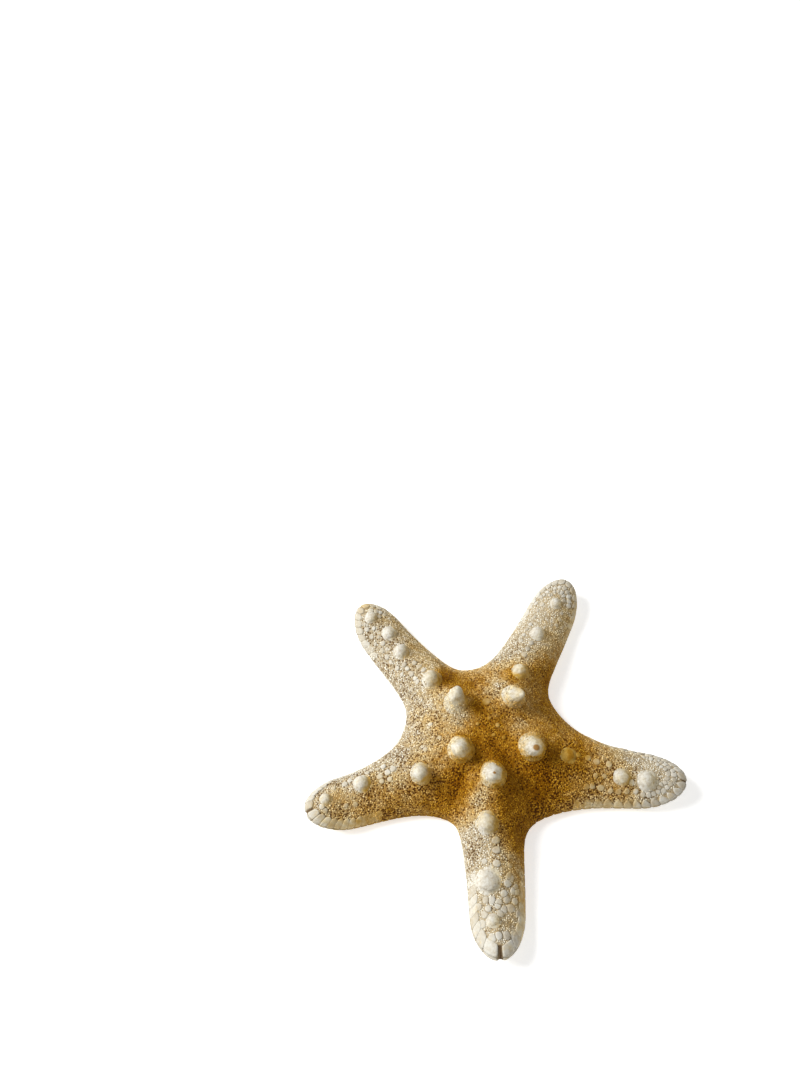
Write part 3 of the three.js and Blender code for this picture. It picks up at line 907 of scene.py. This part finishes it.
# ------------------------------------------------------------------ granules
# The living skin of the back carries thousands of tiny limy granules, thinner where the breathing pores lie.
# They dried in place, so each sits half sunk in the skin.
GRANULE_SPACING = 0.55
SMALLEST_GRANULE = (0.24, 0.20, 0.16)  # half its length, width and thickness
LARGEST_GRANULE = (0.46, 0.34, 0.26)
GRANULE_TINTS = [(0, (0.48, 0.39, 0.26)), (0.35, (0.86, 0.80, 0.70)), (1, (1.3, 1.3, 1.27))]
BARE_ROUND_HORN = 0.54  # of a horn's width, from its middle
BARE_ROUND_PLATE = 0.38
PORE_CLEARED = 1.05  # of a pore's width
GRANULES_ON_EDGE = 4  # the granules end this far beyond the start of the bare edge plates


def granule_room():
    """For every point of the body's mesh, how much of the skin is free for granules, and its arm."""
    places = skin_points - MIDDLE
    room = np.where(skin_outward[:, 2] > 0.02, 1.0, 0.0)
    from_horns = (horn_distances(places) - BARE_ROUND_HORN * HORN_WIDTHS).min(axis=1)
    room *= np.clip(from_horns / 0.4, 0, 1)
    for centre, width in zip(back_centres, back_widths):
        near = np.linalg.norm(skin_points - centre, axis=1) < BARE_ROUND_PLATE * width
        room[near] = 0.0
    aims = np.radians([arm["aim"] for arm in ARMS])
    facing = places[:, 0, None] * np.cos(aims) + places[:, 1, None] * np.sin(aims)
    number = facing.argmax(axis=1)
    widths = np.array([[row[0] for row in EDGE_ROWS[arm["name"]]] for arm in ARMS])
    across = places[:, 1] * np.cos(aims[number]) - places[:, 0] * np.sin(aims[number])
    width = widths[number, (across < 0).astype(int)]
    away = np.hypot(places[:, 0], places[:, 1])
    start = np.array([EDGE_PLATES_START[arm["name"]] for arm in ARMS])[number]
    bare = np.clip((away - start - GRANULES_ON_EDGE) / EDGE_PLATES_RISE, 0, 1)
    room *= np.where(skin_inland < width - 0.1, 1 - bare, 1)
    return room, number


room, nearest_arm = granule_room()
float_attribute(body, "granule_room", room)
float_attribute(body, "arm_number", nearest_arm.astype(float))


def granule_material():
    made, tree, shader, place = limy_material("granule", 0.7, 0.08)
    tints = ramp(tree, stored(tree, "tint"), GRANULE_TINTS)
    varied = shaded(tree, stained_and_shaded(tree, place, CRUST_COLOURS), tints)
    tree.links.new(varied, shader.inputs["Base Color"])
    return made


def new_tree(name, **inputs):
    """A node tree that gives one geometry, and the sockets of its named inputs, which are given by kind."""
    tree = bpy.data.node_groups.new(name, "GeometryNodeTree")
    tree.interface.new_socket("Geometry", in_out="OUTPUT", socket_type="NodeSocketGeometry")
    for label, kind in inputs.items():
        tree.interface.new_socket(label, in_out="INPUT", socket_type="NodeSocket" + kind)
    return tree, wire(tree, "NodeGroupInput").outputs


def read(tree, name, kind="FLOAT"):
    """A value stored on the geometry."""
    return wire(tree, "GeometryNodeInputNamedAttribute", {"Name": name}, data_type=kind).outputs[0]


def random_number(tree, low, high, seed):
    inputs = {2: low, 3: high, "Seed": seed}
    return wire(tree, "FunctionNodeRandomValue", inputs, data_type="FLOAT").outputs[1]


def random_vector(tree, low, high, seed):
    inputs = {0: low, 1: high, "Seed": seed}
    return wire(tree, "FunctionNodeRandomValue", inputs, data_type="FLOAT_VECTOR").outputs[0]


def compared(tree, operation, inputs):
    return wire(tree, "FunctionNodeCompare", inputs, data_type="FLOAT", operation=operation).outputs[0]


def finish_tree(tree, placed, tint, material):
    """Gives every placed shape its tint, makes them one smooth mesh with the material, and ends the tree."""
    tinted = wire(tree, "GeometryNodeStoreNamedAttribute", {
        "Geometry": placed, "Name": "tint", "Value": tint}, data_type="FLOAT", domain="INSTANCE").outputs[0]
    real = wire(tree, "GeometryNodeRealizeInstances", {"Geometry": tinted}).outputs[0]
    smooth = wire(tree, "GeometryNodeSetShadeSmooth", {"Geometry": real}).outputs[0]
    finished = wire(tree, "GeometryNodeSetMaterial", {"Geometry": smooth, "Material": material}).outputs[0]
    wire(tree, "NodeGroupOutput", {"Geometry": finished})
    return tree


def granule_tree():
    """Scatters granules over the free skin of one arm, lying along the skin, each with its own tint."""
    tree, given = new_tree("granules", Skin="Geometry", Arm="Float", Spacing="Float", Smallest="Vector",
                           Largest="Vector", Material="Material")
    chosen = compared(tree, "EQUAL", {0: read(tree, "arm_number"), 1: given["Arm"], "Epsilon": 0.5})
    scattered = wire(tree, "GeometryNodeDistributePointsOnFaces", {
        "Mesh": given["Skin"], "Selection": chosen, "Distance Min": given["Spacing"], "Density Max": 6e6,
        "Density Factor": read(tree, "granule_room"), "Seed": 5}, distribute_method="POISSON").outputs
    pore = wire(tree, "ShaderNodeTexVoronoi", {"Scale": 1000 / PORE_SPACING, "Randomness": PORE_SCATTER})
    cleared = maths(tree, "MULTIPLY", read(tree, "pore"), PORE_CLEARED)
    in_pore = compared(tree, "LESS_THAN", {0: pore.outputs["Distance"], 1: cleared})
    beside_pores = wire(tree, "GeometryNodeDeleteGeometry", {
        "Geometry": scattered["Points"], "Selection": in_pore}).outputs[0]
    bead = wire(tree, "GeometryNodeMeshIcoSphere", {"Radius": 1.0, "Subdivisions": 1}).outputs["Mesh"]
    turned = wire(tree, "FunctionNodeRotateRotation", {
        "Rotation": scattered["Rotation"], "Rotate By": random_vector(tree, (0, 0, 0), (0, 0, math.tau), 3)},
        rotation_space="LOCAL").outputs[0]
    size = random_vector(tree, given["Smallest"], given["Largest"], 8)
    placed = wire(tree, "GeometryNodeInstanceOnPoints", {
        "Points": beside_pores, "Instance": bead, "Rotation": turned, "Scale": size}).outputs[0]
    return finish_tree(tree, placed, random_number(tree, 0.0, 1.0, 13), given["Material"])


def grown(name, source, tree, inputs):
    """Evaluates a node tree on a copy of an object and keeps the result as a plain mesh piece."""
    holder = source.copy()
    bpy.context.collection.objects.link(holder)
    modifier = holder.modifiers.new(name, "NODES")
    modifier.node_group = tree
    for item in tree.interface.items_tree:
        if item.in_out == "INPUT" and item.name in inputs:
            modifier[item.identifier] = inputs[item.name]
    depsgraph = bpy.context.evaluated_depsgraph_get()
    mesh = bpy.data.meshes.new_from_object(holder.evaluated_get(depsgraph))
    holder.modifiers.remove(modifier)
    bpy.data.objects.remove(holder)
    made = bpy.data.objects.new(name, mesh)
    mesh.name = name
    bpy.context.collection.objects.link(made)
    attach(made, "root")
    return made


granules_on_skin = granule_tree()
granule_finish = granule_material()
for number, place in enumerate([arm["name"] for arm in ARMS] + ["horn_feet"]):
    on_horns = number == len(ARMS)
    grown(f"granules_{place}", horns if on_horns else body, granules_on_skin, {
        "Arm": -1.0 if on_horns else float(number), "Spacing": GRANULE_SPACING * 0.001,
        "Smallest": [size * 0.001 for size in SMALLEST_GRANULE],
        "Largest": [size * 0.001 for size in LARGEST_GRANULE], "Material": granule_finish})

# ------------------------------------------------------------------ underside plates
# The flat underside is a mosaic of small cream plates in rows that follow the edge, bound close together.
# A row of narrower plates lines each groove.
UNDERSIDE_STEP = 2.15
UNDERSIDE_ROW = 2.0
UNDERSIDE_ROWS = 12
FIRST_ROW = 8.4  # how far in from the edge the outermost row lies
LAST_ROW = 4.3  # how near the rows come to the groove
GROOVE_PLATE_STEP = 1.25
GROOVE_ROW = 3.1  # how far from the groove line the narrower plates lie
GROOVE_ROW_CLEAR = (5.0, 7.0)  # and how far they stay from the edge and from the mouth
UNDERSIDE_PLATE_HEIGHT = 0.36
UNDERSIDE_STAIN = 0.16
UNDERSIDE_RINGS = [(0.9, -0.4), (1.0, 0.15), (0.88, 0.85), (0.5, 1.0)]
UNDERSIDE_SIDES = 9


def underside_line(half, from_edge=None, from_groove=None, steps=600):
    """Places along a line on the flat underside, kept off the edge or off the groove, and their distances."""
    t = np.linspace(0, 1, steps)
    span = half.section(t)[3]
    inward = from_edge if from_groove is None else span - from_groove
    places = half.points(t, 2 + (inward - RIM_RADIUS) / (span - RIM_RADIUS))
    return places, span - inward, inward


def spaced(places, step, start):
    """Picks places at equal steps along a line, the first of them start steps on."""
    run = np.concatenate([[0], np.cumsum(np.linalg.norm(np.diff(places, axis=0), axis=1))])
    return np.searchsorted(run, np.arange(start * step, run[-1], step))


def underside_centres():
    centres, widths = [], []
    for half in HALVES:
        for row in range(UNDERSIDE_ROWS):
            places, to_groove, _ = underside_line(half, from_edge=FIRST_ROW + UNDERSIDE_ROW * row)
            for k in spaced(places, UNDERSIDE_STEP, 0.5 + 0.5 * (row % 2)):
                if k < len(places) and to_groove[k] > LAST_ROW:
                    centres.append(places[k])
                    widths.append(UNDERSIDE_STEP * 1.15)
        places, _, inward = underside_line(half, from_groove=GROOVE_ROW)
        clear = (inward > GROOVE_ROW_CLEAR[0]) & (np.hypot(places[:, 0], places[:, 1]) > GROOVE_ROW_CLEAR[1])
        for k in spaced(places, GROOVE_PLATE_STEP, 0.5):
            if k < len(places) and clear[k]:
                centres.append(places[k])
                widths.append(GROOVE_PLATE_STEP * 1.3)
    centres = np.array(centres) + np.pad(RANDOM.normal(0, 0.1, (len(centres), 2)), ((0, 0), (0, 1)))
    return centres + MIDDLE, np.array(widths) * RANDOM.uniform(0.92, 1.05, len(widths))


under_centres, under_widths = underside_centres()
under_heights = UNDERSIDE_PLATE_HEIGHT * RANDOM.uniform(0.8, 1.1, len(under_centres))
under_shape, under_faces = pillow_mesh(under_centres, under_widths / 2, under_heights,
                                       rings=UNDERSIDE_RINGS, sides=UNDERSIDE_SIDES)
underside_plates = piece("underside_plates", under_shape, under_faces, edge_material)
random_tint(underside_plates, len(under_centres))
float_attribute(underside_plates, "stain_and_shade", np.full(len(under_shape), UNDERSIDE_STAIN))

# ------------------------------------------------------------------ groove spines
# Short blunt spines stand in two rows along each groove and lean over it, and others bristle on the
# five jaws round the mouth. They are limy too, but stained golden.
SPINE_ROWS = [2.35, 1.95]  # distances from the groove line
SPINES_CLEAR = (4.2, 6.0)  # how far they stay from the edge and from the mouth's middle
SPINE_TINTS = [(0, (0.40, 0.22, 0.05)), (0.5, (0.58, 0.38, 0.13)), (1, (0.68, 0.53, 0.28))]
SPINE_SPACING = 0.62
SPINE_LENGTH = 1.7
SPINE_RADIUS = 0.23
JAW_REACHES = [(7.4, 0.9), (6.2, 0.75), (5.0, 0.55)]  # rows on each jaw: distance from the mouth, half width


def spine_lines():
    """Polylines beside the grooves and across the jaws, and the way the spines lean at every point."""
    points, edges, leans = [], [], []

    def add_line(places, lean):
        first = len(points)
        points.extend(places)
        leans.extend(lean)
        edges.extend((first + k, first + k + 1) for k in range(len(places) - 1))

    for half in HALVES:
        aim = math.radians(half.arm["aim"])
        over_groove = np.array([math.sin(aim), -math.cos(aim), 0]) * half.side
        for from_groove in SPINE_ROWS:
            places, _, inward = underside_line(half, from_groove=from_groove)
            kept = (inward > SPINES_CLEAR[0]) & (np.hypot(places[:, 0], places[:, 1]) > SPINES_CLEAR[1])
            places = places[kept][::4] + MIDDLE + (0, 0, -0.12)
            add_line(places, np.tile(over_groove + (0, 0, 0.05), (len(places), 1)))
    for bay_aim, _ in BAYS:
        aim = math.radians(bay_aim)
        inward = np.array([-math.cos(aim), -math.sin(aim), 0])
        across = np.array([-math.sin(aim), math.cos(aim), 0])
        for distance, half_width in JAW_REACHES:
            places = [MIDDLE - inward * distance + across * share * half_width * 2 + (0, 0, 0.42)
                      for share in np.linspace(-1, 1, 9)]
            add_line(places, np.tile(inward + (0, 0, 0.15), (len(places), 1)))
    return np.array(points), edges, np.array(leans)


def spine_material():
    made, tree, shader, _ = limy_material("golden spine", 0.55, 0.2)
    tree.links.new(ramp(tree, stored(tree, "tint"), SPINE_TINTS), shader.inputs["Base Color"])
    return made


def spine_tree():
    """Sets spines at equal spacing along lines, each leaning its own way, slightly unlike its neighbours."""
    tree, given = new_tree("spines", Lines="Geometry", Spacing="Float", Length="Float", Radius="Float",
                           Material="Material")
    curve = wire(tree, "GeometryNodeMeshToCurve", {"Mesh": given["Lines"]}).outputs[0]
    places = wire(tree, "GeometryNodeResampleCurve", {
        "Curve": curve, "Length": given["Spacing"]}, mode="LENGTH").outputs[0]
    spine = wire(tree, "GeometryNodeMeshCone", {
        "Vertices": 6, "Side Segments": 3, "Radius Top": 0.45, "Radius Bottom": 1.0,
        "Depth": 1.0}).outputs["Mesh"]
    unruly = random_vector(tree, (-0.3, -0.3, -0.05), (0.3, 0.3, 0.1), 21)
    lean = wire(tree, "ShaderNodeVectorMath", {0: read(tree, "lean", "FLOAT_VECTOR"), 1: unruly},
                operation="ADD").outputs[0]
    turn = wire(tree, "FunctionNodeAlignRotationToVector", {"Vector": lean}, axis="Z").outputs[0]
    length = maths(tree, "MULTIPLY", random_number(tree, 0.75, 1.15, 22), given["Length"])
    size = wire(tree, "ShaderNodeCombineXYZ", {
        "X": given["Radius"], "Y": given["Radius"], "Z": length}).outputs[0]
    placed = wire(tree, "GeometryNodeInstanceOnPoints", {
        "Points": places, "Instance": spine, "Rotation": turn, "Scale": size}).outputs[0]
    return finish_tree(tree, placed, random_number(tree, 0.0, 1.0, 23), given["Material"])


line_points, line_edges, line_leans = spine_lines()
lines_mesh = bpy.data.meshes.new("spine lines")
lines_mesh.from_pydata((line_points * 0.001).tolist(), line_edges, [])
lines_mesh.attributes.new("lean", "FLOAT_VECTOR", "POINT").data.foreach_set("vector", line_leans.ravel())
lines = bpy.data.objects.new("spine lines", lines_mesh)
bpy.context.collection.objects.link(lines)
grown("groove_spines", lines, spine_tree(), {
    "Spacing": SPINE_SPACING * 0.001, "Length": SPINE_LENGTH * 0.001, "Radius": SPINE_RADIUS * 0.001,
    "Material": spine_material()})
bpy.data.objects.remove(lines)

# ------------------------------------------------------------------ studio
# A pale seamless floor, one large soft light from the far left and a weak fill.
# The camera looks down on the star along its own Y, 60 degrees below level.
FLOOR_SIZE = 3.0
floor_mesh = bpy.data.meshes.new("floor")
corners = [(-1, -1), (1, -1), (1, 1), (-1, 1)]
floor_mesh.from_pydata([(x * FLOOR_SIZE / 2, y * FLOOR_SIZE / 2, 0) for x, y in corners], [], [(0, 1, 2, 3)])
floor = bpy.data.objects.new("floor", floor_mesh)
bpy.context.collection.objects.link(floor)
floor_material = bpy.data.materials.new("white paper floor")
floor_material.use_nodes = True
paper = floor_material.node_tree.nodes["Principled BSDF"].inputs
paper["Base Color"].default_value = (0.9, 0.9, 0.89, 1)
paper["Roughness"].default_value = 0.9
paper["Emission Color"].default_value = (1, 1, 1, 1)
paper["Emission Strength"].default_value = 0.48
floor_mesh.materials.append(floor_material)


def soft_light(name, azimuth, elevation, distance, size, power, colour):
    """A round lamp that faces the star's middle. Angles are in degrees, lengths in metres."""
    data = bpy.data.lights.new(name, "AREA")
    data.shape, data.size, data.energy, data.color = "DISK", size, power, colour
    light = bpy.data.objects.new(name, data)
    turn, rise = math.radians(azimuth), math.radians(elevation)
    level = math.cos(rise)
    light.location = Vector((math.cos(turn) * level, math.sin(turn) * level, math.sin(rise))) * distance
    light.rotation_euler = (-light.location).to_track_quat("-Z", "Y").to_euler()
    bpy.context.collection.objects.link(light)


soft_light("window light", 165, 40, 1.2, 0.7, 19.5, (0.99, 0.985, 0.985))
soft_light("fill light", -20, 55, 1.4, 1.2, 2.0, (1.0, 0.97, 0.93))
world = bpy.data.worlds.new("studio")
world.use_nodes = True
world.node_tree.nodes["Background"].inputs["Color"].default_value = (1, 1, 1, 1)
world.node_tree.nodes["Background"].inputs["Strength"].default_value = 0.34
bpy.context.scene.world = world
bpy.context.scene.view_settings.view_transform = "Standard"

CAMERA_FROM_MIDDLE = (-0.02986, -0.12335, 0.36818)
camera_data = bpy.data.cameras.new("camera")
camera_data.lens = 35
camera_data.sensor_width = 36
camera_data.clip_start = 0.01
camera = bpy.data.objects.new("camera", camera_data)
camera.location = Vector(CAMERA_FROM_MIDDLE) + Vector(MIDDLE * 0.001)
camera.rotation_euler = (math.radians(30), 0, 0)
bpy.context.collection.objects.link(camera)
bpy.context.scene.camera = camera
